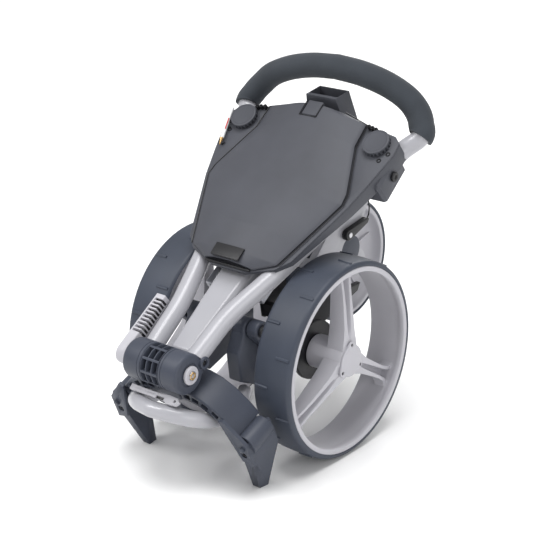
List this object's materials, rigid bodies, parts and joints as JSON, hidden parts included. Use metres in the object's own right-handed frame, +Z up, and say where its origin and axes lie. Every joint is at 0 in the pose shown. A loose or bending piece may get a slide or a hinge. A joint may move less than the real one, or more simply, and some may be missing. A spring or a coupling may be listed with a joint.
{
  "type": "folding golf trolley",
  "caption": "Folded three-wheel golf trolley with a foam handle loop, lidded scorecard console, hinged main beam, folding legs and front fork, and a winged bag bracket.",
  "frame": {"origin": "on the ground under the centre of the folded trolley's box", "axes": "+X to the right seen from the hinge end, which is the wheel axle's line; +Y from the hinge to the front wheel; +Z up"},
  "size_m": [0.3528, 0.5225, 0.5382],
  "materials": {
    "shell": "fine-textured moulded dark grey",
    "casting": "satin glass-filled nylon",
    "black": "satin",
    "foam": "matte closed-cell foam",
    "paint": "aluminium with a gloss light silver-grey powder coat",
    "rail": "satin anodised",
    "rim": "satin light grey",
    "tyre": "matte blue-grey",
    "steel": "zinc plated",
    "white": "gloss"
  },
  "bodies": {
    "frame": {"main_beam": "paint", "hinge_core": "casting", "hinge_bolt": "steel", "hinge_cap": "rim", "fold_rail_left": "rail", "fold_rail_right": "rail", "leg_mount_left": "casting", "leg_mount_right": "casting", "leg_pin_left": "steel", "leg_pin_right": "steel", "bracket_block": "casting", "bracket_arm_left": "casting", "bracket_arm_right": "casting", "wing_pin_left": "steel", "wing_pin_right": "steel", "bag_hoop": "paint", "front_hinge_block": "casting", "front_hinge_pin": "steel"},
    "handle": {"hinge_drum_left": "casting", "hinge_drum_right": "casting", "handle_tube": "paint", "foam_grip": "foam", "console_base": "shell", "console_deck": "shell", "rear_pocket": "shell", "console_bolt_left": "black", "console_bolt_right": "black", "pencil_clip": "black", "lid_pin": "steel"},
    "lid": {"console_lid": "shell", "badge_plate": "black"},
    "latch": {"lid_latch": "shell"},
    "cap_left": {"accessory_cap_left": "shell"},
    "cap_right": {"accessory_cap_right": "shell"},
    "pencil": {"score_pencil": "white"},
    "clamp": {"clamp_lever": "rim"},
    "wing_left": {"wing_left": "casting"},
    "wing_right": {"wing_right": "casting"},
    "hook": {"strap_hook": "rim"},
    "leg_left": {"leg_left": "casting", "axle_left": "steel", "brake_cable_left": "rim"},
    "leg_right": {"leg_right": "casting", "axle_right": "steel", "brake_cable_right": "rim"},
    "wheel_left": {"rim_left": "rim", "tyre_left": "tyre", "hub_cap_left": "rim", "brake_ring_left": "black"},
    "wheel_right": {"rim_right": "rim", "tyre_right": "tyre", "hub_cap_right": "rim", "brake_ring_right": "black"},
    "fork": {"front_fork": "paint", "front_axle": "steel", "lower_bag_bracket": "black"},
    "front_wheel": {"front_rim": "rim", "front_tyre": "tyre"},
    "fork_lever": {"fork_lever": "black"}
  },
  "joints": [
    {"name": "handle_fold", "type": "hinge", "parent": "frame", "child": "handle", "pos_m": [0, -0.2252, 0.178], "axis": [1, 0, 0], "range_deg": [0, 160]},
    {"name": "leg_fold_left", "type": "hinge", "parent": "frame", "child": "leg_left", "pos_m": [0, -0.1042, 0.208], "axis": [1, 0, 0], "range_deg": [0, 120]},
    {"name": "leg_fold_right", "type": "hinge", "parent": "frame", "child": "leg_right", "pos_m": [0, -0.1042, 0.208], "axis": [1, 0, 0], "range_deg": [0, 120]},
    {"name": "wheel_spin_left", "type": "hinge", "parent": "leg_left", "child": "wheel_left", "pos_m": [0, 0.0038, 0.147], "axis": [1, 0, 0], "continuous": true},
    {"name": "wheel_spin_right", "type": "hinge", "parent": "leg_right", "child": "wheel_right", "pos_m": [0, 0.0038, 0.147], "axis": [1, 0, 0], "continuous": true},
    {"name": "fork_fold", "type": "hinge", "parent": "frame", "child": "fork", "pos_m": [0, 0.1888, 0.353], "axis": [1, 0, 0], "range_deg": [0, 140]},
    {"name": "front_spin", "type": "hinge", "parent": "fork", "child": "front_wheel", "pos_m": [0, 0.1648, 0.2235], "axis": [1, 0, 0], "continuous": true},
    {"name": "fork_lever_swing", "type": "hinge", "parent": "fork", "child": "fork_lever", "pos_m": [0, 0.1308, 0.279], "axis": [1, 0, 0], "range_deg": [0, 90]},
    {"name": "clamp_lever_swing", "type": "hinge", "parent": "frame", "child": "clamp", "pos_m": [0, -0.2252, 0.178], "axis": [1, 0, 0], "range_deg": [0, 60]},
    {"name": "lid_hinge", "type": "hinge", "parent": "handle", "child": "lid", "pos_m": [0, -0.0895, 0.28368], "axis": [1, 0, 0], "range_deg": [0, 95]},
    {"name": "latch_hinge", "type": "hinge", "parent": "lid", "child": "latch", "pos_m": [0, 0.09275, 0.46152], "axis": [1, 0, 0], "range_deg": [0, 35]},
    {"name": "pencil_slide", "type": "slide", "parent": "handle", "child": "pencil", "axis": [-0.2595, 0.7376, 0.6234], "range_m": [0, 0.03]},
    {"name": "hook_swing", "type": "hinge", "parent": "frame", "child": "hook", "pos_m": [-0.04, -0.2407, 0.14], "axis": [0, 0, 1], "range_deg": [-100, 0]},
    {"name": "cap_twist_left", "type": "hinge", "parent": "handle", "child": "cap_left", "pos_m": [-0.12, 0.09324, 0.43771], "axis": [0, -0.6455, 0.7638], "range_deg": [0, 90]},
    {"name": "wing_swing_left", "type": "hinge", "parent": "frame", "child": "wing_left", "pos_m": [-0.117, -0.17226, 0.08974], "axis": [0, 0.9205, 0.3907], "range_deg": [-20, 20]},
    {"name": "cap_twist_right", "type": "hinge", "parent": "handle", "child": "cap_right", "pos_m": [0.12, 0.09324, 0.43771], "axis": [0, -0.6455, 0.7638], "range_deg": [0, 90]},
    {"name": "wing_swing_right", "type": "hinge", "parent": "frame", "child": "wing_right", "pos_m": [0.117, -0.17226, 0.08974], "axis": [0, 0.9205, 0.3907], "range_deg": [-20, 20]}
  ],
  "couplings": [
    {"joint": "leg_fold_left", "follows": "handle_fold", "ratio": 0.75},
    {"joint": "leg_fold_right", "follows": "handle_fold", "ratio": 0.75}
  ]
}
